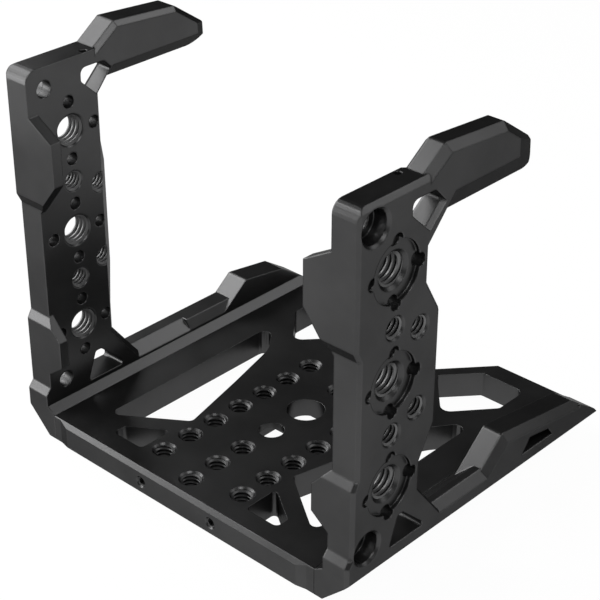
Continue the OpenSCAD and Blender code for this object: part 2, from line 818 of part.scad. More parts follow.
// Countersunk screw with a socket in its head, pointing up
module screw(side, i) {
  cone = (screw_head_d - screw_d) / 2;
  color(steel)
    place()
      translate([side * joint_x, joint_front + i * joint_pitch, screw_sunk])
        difference() {
          union() {
            cylinder(d = screw_head_d, h = screw_rim);
            translate([0, 0, screw_rim]) cylinder(d1 = screw_head_d, d2 = screw_d, h = cone);
            translate([0, 0, screw_rim]) cylinder(d = screw_d, h = screw_l - screw_rim);
          }
          translate([0, 0, -over]) cylinder(d = socket_d, h = socket_depth + over, $fn = 6);
        }
}

// Dowel pin between a flange and the base plate
module dowel(side, i) {
  color(steel)
    place()
      translate([side * joint_x, dowel_y(i), dowel_z])
        cylinder(d = dowel_d, h = dowel_l);
}

module left_screw_1() screw(left, 0);
module left_screw_2() screw(left, 1);
module left_screw_3() screw(left, 2);
module left_screw_4() screw(left, 3);
module left_screw_5() screw(left, 4);
module left_screw_6() screw(left, 5);
module right_screw_1() screw(right, 0);
module right_screw_2() screw(right, 1);
module right_screw_3() screw(right, 2);
module right_screw_4() screw(right, 3);
module right_screw_5() screw(right, 4);
module right_screw_6() screw(right, 5);
module left_front_dowel() dowel(left, 0);
module left_rear_dowel() dowel(left, 1);
module right_front_dowel() dowel(right, 0);
module right_rear_dowel() dowel(right, 1);

base_plate();
left_side_plate();
right_side_plate();
left_screw_1();
left_screw_2();
left_screw_3();
left_screw_4();
left_screw_5();
left_screw_6();
right_screw_1();
right_screw_2();
right_screw_3();
right_screw_4();
right_screw_5();
right_screw_6();
left_front_dowel();
left_rear_dowel();
right_front_dowel();
right_rear_dowel();
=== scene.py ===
"""Looks of an open two-sided cage for a box-shaped camera.

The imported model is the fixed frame. This script dresses its plates, cuts real
threads into their plain bores, puts detailed screws and pins in the joint, and
sets up the studio. The sizes of the cage's parts are in millimetres, as in the
solids. Threads, finishes and the studio are in metres, as Blender is.
"""

import logging
import math
from collections.abc import Callable
from dataclasses import dataclass, field
from enum import Enum

import bpy
from mathutils import Matrix, Vector


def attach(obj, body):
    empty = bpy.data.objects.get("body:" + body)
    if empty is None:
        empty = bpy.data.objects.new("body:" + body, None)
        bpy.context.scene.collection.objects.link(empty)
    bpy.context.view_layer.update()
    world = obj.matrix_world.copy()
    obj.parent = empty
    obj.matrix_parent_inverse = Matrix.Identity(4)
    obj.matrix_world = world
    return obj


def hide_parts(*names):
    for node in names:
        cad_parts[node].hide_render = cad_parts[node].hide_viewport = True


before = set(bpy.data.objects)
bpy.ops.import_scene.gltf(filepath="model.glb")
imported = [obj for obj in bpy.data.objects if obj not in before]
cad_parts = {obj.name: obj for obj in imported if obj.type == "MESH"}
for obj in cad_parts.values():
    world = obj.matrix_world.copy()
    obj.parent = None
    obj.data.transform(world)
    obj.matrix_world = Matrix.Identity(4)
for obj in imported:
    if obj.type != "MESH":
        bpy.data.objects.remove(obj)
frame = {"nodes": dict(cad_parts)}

LOG = logging.getLogger("cage")
MM = 0.001
BODY = "root"
# Points of a swept or cut mesh that lie closer than WELD are one point.
WELD = 1e-7
# Points of a finished thread that lie closer than MERGE are joined.
MERGE = 0.004 * MM
WHITE = (1.0, 1.0, 1.0, 1.0)
NOISE_MIDDLE = 0.5
Point = tuple[float, float, float]
Colour = tuple[float, float, float]


class Slot(Enum):
    """Names of material slots."""

    ANODISED = "anodised"
    FASTENER = "fastener"
    PIN = "pin"


class Side(Enum):
    """The two hands of the cage, as the sign of X."""

    LEFT = -1
    RIGHT = 1


class Value:
    """A number or a socket in a shader, with arithmetic that adds Math nodes."""

    def __init__(self, shader: "Shader", source: "bpy.types.NodeSocket | float") -> None:
        """Wraps a socket or a number of one shader."""
        self.shader = shader
        self.source = source

    def _math(self, operation: str, other: "Value | float") -> "Value":
        """Adds the Math node that works on this value and another."""
        return self.shader.node("ShaderNodeMath", {"operation": operation}, {0: self, 1: other})

    def __add__(self, other: "Value | float") -> "Value":
        """Sum."""
        return self._math("ADD", other)

    __radd__ = __add__

    def __sub__(self, other: "Value | float") -> "Value":
        """Difference."""
        return self._math("SUBTRACT", other)

    def __rsub__(self, other: float) -> "Value":
        """Difference from a number."""
        return Value(self.shader, other)._math("SUBTRACT", self)

    def __mul__(self, other: "Value | float") -> "Value":
        """Product."""
        return self._math("MULTIPLY", other)

    __rmul__ = __mul__

    def clamped(self) -> "Value":
        """The value kept between zero and one."""
        return self.shader.node("ShaderNodeClamp", {}, {"Value": self})

    def ramp(self, low: float, high: float) -> "Value":
        """Smooth step from zero at low to one at high."""
        return self.shader.node(
            "ShaderNodeMapRange", {"interpolation_type": "SMOOTHSTEP"},
            {"Value": self, "From Min": low, "From Max": high},
        )


class Shader:
    """Builds the node tree of one material or world."""

    # Numbers of the colour sockets of a Mix node.
    MIX_AMOUNT, MIX_LOW, MIX_HIGH, MIX_RESULT = 0, 6, 7, 2

    def __init__(self, owner: "bpy.types.Material | bpy.types.World") -> None:
        """Empties a node tree and keeps it.

        Args:
            owner: The material or world that has the tree.
        """
        owner.use_nodes = True
        self.tree = owner.node_tree
        self.tree.nodes.clear()

    def node(self, kind: str, settings: dict, inputs: dict, output: "int | str" = 0) -> Value:
        """Adds a node.

        Args:
            kind: Blender's name of the node's type.
            settings: The node's own settings, which are set first.
            inputs: Values or links of its sockets, by name or number.
            output: Which of its outputs to return.

        Returns:
            The chosen output.
        """
        made = self.tree.nodes.new(kind)
        for name, setting in settings.items():
            setattr(made, name, setting)
        for name, value in inputs.items():
            self.link(value, made.inputs[name])
        return Value(self, made.outputs[output] if len(made.outputs) else 0.0)

    def link(self, value: "Value | float | tuple", socket: bpy.types.NodeSocket) -> None:
        """Sets a socket, or links it to a wrapped one.

        Args:
            value: A number, a colour or a wrapped socket.
            socket: The input that takes it.
        """
        source = value.source if isinstance(value, Value) else value
        if isinstance(source, bpy.types.NodeSocket):
            self.tree.links.new(source, socket)
        else:
            socket.default_value = source

    def place(self) -> Value:
        """Object coordinates, in metres."""
        return self.node("ShaderNodeTexCoord", {}, {}, "Object")

    def noise(self, size: float, detail: float = 2.0, roughness: float = 0.5) -> Value:
        """Noise whose features are about size metres wide."""
        return self.node(
            "ShaderNodeTexNoise", {},
            {"Vector": self.place(), "Scale": 1 / size, "Detail": detail, "Roughness": roughness},
        )

    def mix(self, amount: Value, low: "Value | tuple", high: "Value | tuple") -> Value:
        """Colour between low and high."""
        return self.node(
            "ShaderNodeMix", {"data_type": "RGBA"},
            {self.MIX_AMOUNT: amount, self.MIX_LOW: low, self.MIX_HIGH: high}, self.MIX_RESULT,
        )

    def edges(self, radius: float, samples: int = 6, low: float = 0.01,
              high: float = 0.25) -> tuple[Value, Value]:
        """Finds sharp edges and softens them.

        Args:
            radius: How far the softening reaches, in metres.
            samples: Samples of the Bevel node.
            low: Turn of the normal, as one minus its cosine, where the mask starts.
            high: Turn of the normal, given alike, where the mask is full.

        Returns:
            Softened normals, and a mask that is one on the edges.
        """
        soft = self.node("ShaderNodeBevel", {"samples": samples}, {"Radius": radius})
        flat = self.node("ShaderNodeNewGeometry", {}, {}, "True Normal")
        along = self.node(
            "ShaderNodeVectorMath", {"operation": "DOT_PRODUCT"}, {0: soft, 1: flat}, "Value",
        )
        return soft, (1 - along).ramp(low, high)

    def openness(self, distance: float, samples: int = 8, low: float = 0.5,
                 high: float = 0.88) -> Value:
        """Tells open surfaces from grooves.

        Args:
            distance: Width of the grooves, in metres.
            samples: Samples of the Ambient Occlusion node.
            low: Share of open sky that counts as deep in a groove.
            high: Share of open sky that counts as open.

        Returns:
            One on open surfaces, zero deep in grooves.
        """
        sky = self.node(
            "ShaderNodeAmbientOcclusion", {"samples": samples, "only_local": True},
            {"Distance": distance}, "AO",
        )
        return sky.ramp(low, high)

    def bump(self, height: Value, depth: float, normal: "Value | None" = None,
             strength: float = 0.5) -> Value:
        """Normals roughened by a pattern of heights.

        Args:
            height: The pattern, from zero to one.
            depth: Height of its peaks, in metres.
            normal: Normals to start from, if not the surface's own.
            strength: Strength of the Bump node.

        Returns:
            The roughened normals.
        """
        inputs = {"Strength": strength, "Distance": depth, "Height": height}
        if normal is not None:
            inputs["Normal"] = normal
        return self.node("ShaderNodeBump", {}, inputs)

    def finish(self, sockets: dict) -> None:
        """Ends a material in a Principled surface with these sockets."""
        surface = self.node("ShaderNodeBsdfPrincipled", {}, sockets)
        self.node("ShaderNodeOutputMaterial", {}, {"Surface": surface})


@dataclass(frozen=True)
class AnodisedFinish:
    """Black anodised, bead-blasted aluminium, with a painted highlight along its edges.

    Attributes:
        name: Name of the material.
        dark: Darkest colour of the surface.
        pale: Palest colour of the surface.
        edge_highlight: Colour of the painted highlight along the edges.
        groove_shade: Colour of the painted shade deep in grooves.
        roughness: Roughness of the surface.
        grain_roughness: How far the grain swings it.
        cloud_roughness: How far the clouds raise it.
        metallic: How metallic the surface is.
        grazing: Brightness of what it mirrors at a grazing angle.
        cloud: Width of the clouds, which are faint changes of tone.
        cloud_detail: Detail of their noise.
        cloud_fineness: Roughness of their noise.
        cloud_range: Part of the noise that the clouds run through.
        cloud_share: Their share of the change from dark to pale.
        grain: Width of the grains that the blasting leaves.
        grain_share: Their share of the change from dark to pale.
        grain_height: Their height.
        edge_radius: How far the edges are softened.
        edge_highlight_amount: How far the edges take the painted highlight.
        cloud_highlight: How much further they take the painted highlight where the clouds are
            pale.
        groove: Width of the grooves that get painted shade, or zero.
    """

    name: str = "black_anodised"
    dark: Colour = (0.056, 0.056, 0.0565)
    pale: Colour = (0.075, 0.075, 0.0755)
    # Painted highlight along the edges.
    edge_highlight: Colour = (0.11, 0.11, 0.111)
    # Painted shade deep in grooves.
    groove_shade: Colour = (0.012, 0.012, 0.012)
    roughness: float = 0.31
    grain_roughness: float = 0.08
    cloud_roughness: float = 0.04
    metallic: float = 0.9
    grazing: float = 0.12
    cloud: float = 22 * MM
    cloud_detail: float = 4.0
    cloud_fineness: float = 0.6
    cloud_range: tuple[float, float] = (0.3, 0.7)
    cloud_share: float = 0.6
    grain: float = 0.16 * MM
    grain_share: float = 0.4
    grain_height: float = 0.006 * MM
    edge_radius: float = 0.6 * MM
    edge_highlight_amount: float = 0.35
    cloud_highlight: float = 0.4
    groove: float = 0.0

    def make(self) -> bpy.types.Material:
        """Builds the finish's nodes.

        Returns:
            The finish as a material.
        """
        material = bpy.data.materials.new(self.name)
        shader = Shader(material)
        cloud = shader.noise(self.cloud, self.cloud_detail, self.cloud_fineness)
        cloud = cloud.ramp(*self.cloud_range)
        grain = shader.noise(self.grain)
        soft, edge = shader.edges(self.edge_radius)
        pattern = cloud * self.cloud_share + grain * self.grain_share
        tint = shader.mix(pattern, (*self.dark, 1), (*self.pale, 1))
        # Painted highlight: the edges, where the Bevel node turns the normal, are paled towards
        # worn.
        edge_highlight_amount = edge * (self.edge_highlight_amount + self.cloud_highlight * cloud)
        colour = shader.mix(edge_highlight_amount, tint, (*self.edge_highlight, 1))
        # Painted shade: grooves are darkened towards soot where the Ambient Occlusion node finds
        # little open sky.
        if self.groove:
            colour = shader.mix(shader.openness(self.groove), (*self.groove_shade, 1), colour)
        swing = self.grain_roughness * (grain - NOISE_MIDDLE)
        shader.finish({
            "Base Color": colour,
            "Roughness": self.roughness + swing + self.cloud_roughness * cloud,
            "Metallic": self.metallic,
            "Specular Tint": (self.grazing, self.grazing, self.grazing, 1),
            "Normal": shader.bump(grain, self.grain_height, soft),
        })
        return material


@dataclass(frozen=True)
class SteelFinish:
    """Turned steel, bright or blackened.

    Attributes:
        name: Name of the material.
        dark: Darkest colour of the surface.
        pale: Palest colour of the surface.
        roughness: Roughness of the surface.
        turning_roughness: How far the marks of turning swing it.
        metallic: How metallic the surface is.
        cloud: Width of the changes of tone.
        cloud_detail: Detail of their noise.
        cloud_fineness: Roughness of their noise.
        cloud_range: Part of the noise that they run through.
        turning: Width of the marks of turning.
        turning_detail: Detail of their noise.
        turning_height: Their height.
    """

    name: str
    dark: Colour
    pale: Colour
    roughness: float
    turning_roughness: float = 0.1
    metallic: float = 1.0
    cloud: float = 2.2 * MM
    cloud_detail: float = 3.0
    cloud_fineness: float = 0.6
    cloud_range: tuple[float, float] = (0.3, 0.7)
    turning: float = 0.22 * MM
    turning_detail: float = 3.0
    turning_height: float = 0.004 * MM

    def make(self) -> bpy.types.Material:
        """Builds the finish's nodes.

        Returns:
            The finish as a material.
        """
        material = bpy.data.materials.new(self.name)
        shader = Shader(material)
        cloud = shader.noise(self.cloud, self.cloud_detail, self.cloud_fineness)
        cloud = cloud.ramp(*self.cloud_range)
        turned = shader.noise(self.turning, self.turning_detail)
        shader.finish({
            "Base Color": shader.mix(cloud, (*self.dark, 1), (*self.pale, 1)),
            "Roughness": self.roughness + self.turning_roughness * (turned - NOISE_MIDDLE),
            "Metallic": self.metallic,
            "Normal": shader.bump(turned, self.turning_height),
        })
        return material


PLATES = AnodisedFinish()
FLOOR_PLATE = AnodisedFinish(name="floor_anodised", edge_radius=0.2 * MM)
# Painted light: the post threads are a paler copy of the anodised finish, so that they look lit
# inside their bores.
LIT_POST_THREADS = AnodisedFinish(
    name="post_thread_painted_light",
    dark=(0.13, 0.13, 0.131), pale=(0.17, 0.17, 0.171), edge_highlight=(0.19, 0.19, 0.191),
    roughness=0.42, edge_radius=0.06 * MM, groove=0.7 * MM,
)
# Painted shade: the floor threads are a darker copy of the thread finish, against the light that
# falls on them from above.
SHADED_FLOOR_THREADS = AnodisedFinish(
    name="floor_thread_painted_shade",
    dark=(0.065, 0.065, 0.0655), pale=(0.085, 0.085, 0.0855), edge_highlight=(0.095, 0.095, 0.0955),
    roughness=0.4, edge_radius=0.06 * MM, groove=0.7 * MM,
)
SCREW_STEEL = SteelFinish(
    name="blackened_steel", dark=(0.05, 0.05, 0.055), pale=(0.11, 0.11, 0.115), roughness=0.38,
)
PIN_STEEL = SteelFinish(
    name="ground_steel", dark=(0.42, 0.42, 0.43), pale=(0.58, 0.58, 0.59), roughness=0.28,
)


class Bench:
    """Selects, shapes and places meshes as by hand."""

    # Edges and faces smaller than this share of MERGE are dissolved.
    SLIVER_SHARE = 0.25

    @staticmethod
    def clear() -> None:
        """Deselects every object."""
        for thing in bpy.context.selected_objects:
            thing.select_set(False)
        bpy.context.view_layer.objects.active = None

    @staticmethod
    def hold(thing: bpy.types.Object) -> None:
        """Makes one object the only one selected.

        Args:
            thing: The object.
        """
        Bench.clear()
        thing.select_set(True)
        bpy.context.view_layer.objects.active = thing

    @staticmethod
    def edit(thing: bpy.types.Object) -> None:
        """Opens an object in edit mode, with all of it selected.

        Args:
            thing: The object.
        """
        Bench.hold(thing)
        bpy.ops.object.mode_set(mode="EDIT")
        bpy.ops.mesh.select_all(action="SELECT")

    @staticmethod
    def pick(thing: bpy.types.Object, kind: str, test: Callable[..., bool]) -> None:
        """Opens thing in edit mode, with some of it selected.

        Args:
            thing: The object.
            kind: One of vertices, edges and polygons.
            test: Says of each item of that kind whether it is selected.
        """
        bpy.ops.object.mode_set(mode="OBJECT")
        mesh = thing.data
        for group in (mesh.vertices, mesh.edges, mesh.polygons):
            for item in group:
                item.select = False
        for item in getattr(mesh, kind):
            item.select = bool(test(item))
        kinds = ("vertices", "edges", "polygons")
        bpy.context.tool_settings.mesh_select_mode = [kind == name for name in kinds]
        bpy.ops.object.mode_set(mode="EDIT")

    @staticmethod
    def extrude(out: float, up: float) -> None:
        """Extrudes what is selected by a step along X and Z."""
        bpy.ops.mesh.extrude_region_move(TRANSFORM_OT_translate={"value": (out, 0, up)})

    @staticmethod
    def cylinder(name: str, radius: float, top_radius: float, low: float, high: float,
                 vertices: int = 64) -> bpy.types.Object:
        """Upright cone or cylinder about the origin.

        Args:
            name: Name of the object.
            radius: Radius at its foot.
            top_radius: Radius at its top.
            low: Height of its foot.
            high: Height of its top.
            vertices: Number of its sides.

        Returns:
            The new object.
        """
        Bench.clear()
        bpy.ops.mesh.primitive_cone_add(
            vertices=vertices, radius1=radius, radius2=top_radius, depth=high - low,
            location=(0, 0, (low + high) / 2),
        )
        made = bpy.context.object
        made.name = name
        made.data.transform(made.matrix_world)
        made.matrix_world = Matrix.Identity(4)
        return made

    @staticmethod
    def apply(thing: bpy.types.Object, kind: str, **settings: object) -> None:
        """Adds a modifier and applies it.

        Args:
            thing: The object.
            kind: Blender's name of the modifier's type.
            settings: The modifier's settings.
        """
        Bench.hold(thing)
        modifier = thing.modifiers.new(kind.lower(), kind)
        for name, setting in settings.items():
            setattr(modifier, name, setting)
        bpy.ops.object.modifier_apply(modifier=modifier.name)

    @staticmethod
    def cut(thing: bpy.types.Object, tool: bpy.types.Object) -> None:
        """Cuts a tool out of thing and removes the tool."""
        Bench.apply(thing, "BOOLEAN", operation="DIFFERENCE", object=tool, solver="EXACT")
        Bench.discard(tool)

    @staticmethod
    def close_up(thing: bpy.types.Object) -> None:
        """Joins points that nearly meet, and cuts the faces into triangles.

        Args:
            thing: A thread, which stays closed once it is exported.
        """
        Bench.hold(thing)
        Bench.pick(thing, "vertices", lambda vertex: True)
        bpy.ops.mesh.remove_doubles(threshold=MERGE)
        bpy.ops.mesh.dissolve_degenerate(threshold=Bench.SLIVER_SHARE * MERGE)
        bpy.ops.mesh.quads_convert_to_tris(quad_method="BEAUTY", ngon_method="BEAUTY")
        bpy.ops.object.mode_set(mode="OBJECT")

    @staticmethod
    def smooth(thing: bpy.types.Object, degrees: float) -> None:
        """Shades thing smooth, except at edges that turn by more than this."""
        Bench.hold(thing)
        bpy.ops.object.shade_smooth_by_angle(angle=math.radians(degrees))

    @staticmethod
    def copy(thing: bpy.types.Object, name: str, matrix: Matrix) -> bpy.types.Object:
        """Copies thing.

        Args:
            thing: The object.
            name: Name of the copy and of its mesh.
            matrix: Place and turn of the copy, which go into its mesh.

        Returns:
            The copy.
        """
        made = thing.copy()
        made.data = thing.data.copy()
        made.name = made.data.name = name
        made.data.transform(matrix)
        made.matrix_world = Matrix.Identity(4)
        bpy.context.scene.collection.objects.link(made)
        return made

    @staticmethod
    def put(pattern: bpy.types.Object, name: str, matrix: Matrix, slot: Slot,
            finish: bpy.types.Material) -> bpy.types.Object:
        """Copies a pattern to its place on the cage.

        Args:
            pattern: The object to copy.
            name: Name of the piece.
            matrix: Its place and turn.
            slot: Not used.
            finish: Its material.

        Returns:
            The piece, which rides on the cage's body.
        """
        made = Bench.copy(pattern, name, matrix)
        made.data.materials.clear()
        made.data.materials.append(finish)
        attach(made, BODY)
        return made

    @staticmethod
    def discard(thing: bpy.types.Object) -> None:
        """Removes a tool, or a pattern once its copies are made."""
        bpy.data.objects.remove(thing)


@dataclass
class Thread:
    """Internal thread that lines a plain bore and starts at the foot of its countersinks.

    Attributes:
        radius: Radius of the bore, in metres, as all its sizes are.
        pitch: Rise of one turn.
        length: Length of the bore with its countersinks.
        low_mouth: Depth of the countersink at the foot, or zero.
        high_mouth: Depth of the countersink at the top, or zero.
        steps: Straight pieces in one turn.
        wall: How far the sleeve goes into the metal, so that no gap shows.
        depth_share: Depth of the thread, as a share of the pitch.
        crest_share: Flat at the crests, as a share of the pitch.
        root_share: Flat at the roots, as a share of the pitch.
        flank_share: Rise of each flank, as a share of the pitch.
        overrun_share: How far the tap runs past each end, as a share of the pitch.
        spare_turns: Turns that are swept past each end before the tap is cut.
        mouth_slope: Rise of the mouths for each step outwards.
        smooth_angle: Edges that turn by more degrees stay sharp.
    """

    radius: float
    pitch: float
    length: float
    low_mouth: float
    high_mouth: float
    steps: int = 36
    wall: float = 0.03 * MM
    depth_share: float = 0.5413
    crest_share: float = 0.25
    root_share: float = 0.125
    flank_share: float = 0.3125
    overrun_share: float = 0.5
    spare_turns: int = 2
    mouth_slope: float = 0.42
    smooth_angle: float = 28.0

    def crest(self) -> float:
        """Radius at the crests: five eighths of the sharp thread's height."""
        return self.radius - self.depth_share * self.pitch

    def tap(self) -> bpy.types.Object:
        """Sweeps one pitch of the profile up a helix and caps it.

        Returns:
            The form of a tap, longer than the bore at both ends.
        """
        Bench.clear()
        bpy.ops.mesh.primitive_plane_add(size=self.pitch, location=(0, 0, 0))
        made = bpy.context.object
        Bench.pick(made, "vertices", lambda vertex: vertex.index > 0)
        bpy.ops.mesh.delete(type="VERT")
        bpy.ops.object.mode_set(mode="OBJECT")
        made.data.vertices[0].co = (self.crest(), 0, -self.spare_turns * self.pitch)
        Bench.pick(made, "vertices", lambda vertex: True)
        reach = self.radius - self.crest()
        flank = self.flank_share * self.pitch
        crest, root = self.crest_share * self.pitch, self.root_share * self.pitch
        for out, up in ((0, crest), (reach, flank), (0, root), (-reach, flank)):
            Bench.extrude(out, up)
        bpy.ops.object.mode_set(mode="OBJECT")
        Bench.apply(
            made, "SCREW", axis="Z", angle=2 * math.pi, screw_offset=self.pitch,
            iterations=math.ceil(self.length / self.pitch) + 2 * self.spare_turns,
            steps=self.steps, render_steps=self.steps,
            use_merge_vertices=True, merge_threshold=WELD,
        )
        Bench.edit(made)
        bpy.ops.mesh.remove_doubles(threshold=WELD)
        overrun = self.overrun_share * self.pitch
        for height, above in ((-overrun, False), (self.length + overrun, True)):
            bpy.ops.mesh.select_all(action="SELECT")
            bpy.ops.mesh.bisect(
                plane_co=(0, 0, height), plane_no=(0, 0, 1), use_fill=True,
                clear_inner=not above, clear_outer=above, threshold=WELD,
            )
        bpy.ops.mesh.select_all(action="SELECT")
        bpy.ops.mesh.normals_make_consistent(inside=False)
        bpy.ops.object.mode_set(mode="OBJECT")
        return made

    def mouth(self, depth: float, height: float, up: int) -> bpy.types.Object:
        """Cone that opens one end of the sleeve.

        Args:
            depth: Depth of the countersink that the thread starts below.
            height: Height of this end.
            up: One at the top end, minus one at the foot.

        Returns:
            The cone, with its base level with the end.
        """
        wide = self.radius + self.wall + (depth + self.wall) / self.mouth_slope
        tip = height - up * wide * self.mouth_slope
        (low, foot), (high, top) = sorted(((tip, 0.0), (height, wide)))
        return Bench.cylinder("mouth", foot, top, low, high)

    def build(self) -> bpy.types.Object:
        """Makes the threaded sleeve.

        Returns:
            The sleeve, from height zero up.
        """
        outer = self.radius + self.wall
        made = Bench.cylinder("sleeve", outer, outer, 0, self.length, 2 * self.steps)
        tools = [self.tap()]
        for depth, height, up in ((self.low_mouth, 0.0, -1), (self.high_mouth, self.length, 1)):
            if depth:
                tools.append(self.mouth(depth, height, up))
        for tool in tools:
            Bench.cut(made, tool)
        Bench.close_up(made)
        Bench.smooth(made, self.smooth_angle)
        return made


@dataclass
class BasePlate:
    """Floor plate with its tapped grid and the two threads of its front edge.

    Attributes:
        thickness: Thickness of the floor.
        lip: How far the middle of the front edge stands before the front of the feet.
        pitch: Distance between the holes of a row.
        row_x: Distance of the two rows from the middle.
        first_y: Place of the rows' first hole behind the front of the feet.
        row_count: Holes in a row.
        middle_y: Place of the first hole on the middle line.
        middle_steps: Places of the holes on the middle line, in pitches from there.
        tap_radius: Radius of the bores.
        tap_pitch: Rise of one turn of their threads.
        tap_mouth: Depth of their countersinks.
        start_step: Turn from each thread to the next, in radians.
        edge_x: Distance of the front edge's holes from the middle.
        edge_z: Their height.
        edge_radius: Radius of their bores.
        edge_pitch: Rise of one turn of their threads.
        edge_depth: Their depth.
        edge_mouth: Depth of their countersinks.
        edge_steps: Straight pieces in one turn of their threads.
    """

    thickness: float = 8.65
    lip: float = 0.7
    pitch: float = 10.8
    row_x: float = 16.4
    first_y: float = 10.9
    row_count: int = 7
    middle_y: float = 6.2
    middle_steps: tuple[int, ...] = (0, 1, 2, 6)
    tap_radius: float = 3.175
    tap_pitch: float = 1.27
    tap_mouth: float = 0.575
    start_step: float = 2.4
    edge_x: float = 14.6
    edge_z: float = 3.65
    edge_radius: float = 1.5
    edge_pitch: float = 0.5
    edge_depth: float = 8.0
    edge_mouth: float = 0.45
    edge_steps: int = 24

    def spots(self) -> list[tuple[str, float, float]]:
        """Lists the tapped holes of the floor.

        Returns:
            Name and place of each, in millimetres behind the front of the feet.
        """
        rows = [
            (f"{side.name.lower()}_row_thread_{i + 1}", side.value * self.row_x,
             self.first_y + i * self.pitch)
            for side in Side for i in range(self.row_count)
        ]
        middle = [
            (f"middle_thread_{i + 1}", 0.0, self.middle_y + step * self.pitch)
            for i, step in enumerate(self.middle_steps)
        ]
        return rows + middle

    def build(self, finish: bpy.types.Material, origin_y: float) -> list[bpy.types.Object]:
        """Lines the plate's holes. Each thread of the grid starts at its own angle.

        Args:
            finish: The threads' finish.
            origin_y: Distance from the front of the feet to the frame's origin.

        Returns:
            The pieces made.
        """
        made = []
        pattern = Thread(
            radius=self.tap_radius * MM, pitch=self.tap_pitch * MM, length=self.thickness * MM,
            low_mouth=self.tap_mouth * MM, high_mouth=self.tap_mouth * MM,
        ).build()
        for name, x, y in self.spots():
            spot = Matrix.Translation((x * MM, (y - origin_y) * MM, 0))
            turn = Matrix.Rotation(len(made) * self.start_step, 4, "Z")
            made.append(Bench.put(pattern, name, spot @ turn, Slot.ANODISED, finish))
        Bench.discard(pattern)
        small = Thread(
            radius=self.edge_radius * MM, pitch=self.edge_pitch * MM,
            length=self.edge_depth * MM, low_mouth=0.0, high_mouth=self.edge_mouth * MM,
            steps=self.edge_steps,
        ).build()
        turn = Matrix.Rotation(math.pi / 2, 4, "X")
        end_y = self.edge_depth - self.lip - origin_y
        for side in Side:
            x = side.value * self.edge_x
            spot = Matrix.Translation((x * MM, end_y * MM, self.edge_z * MM))
            name = f"front_edge_thread_{side.name.lower()}"
            made.append(Bench.put(small, name, spot @ turn, Slot.ANODISED, finish))
        Bench.discard(small)
        return made


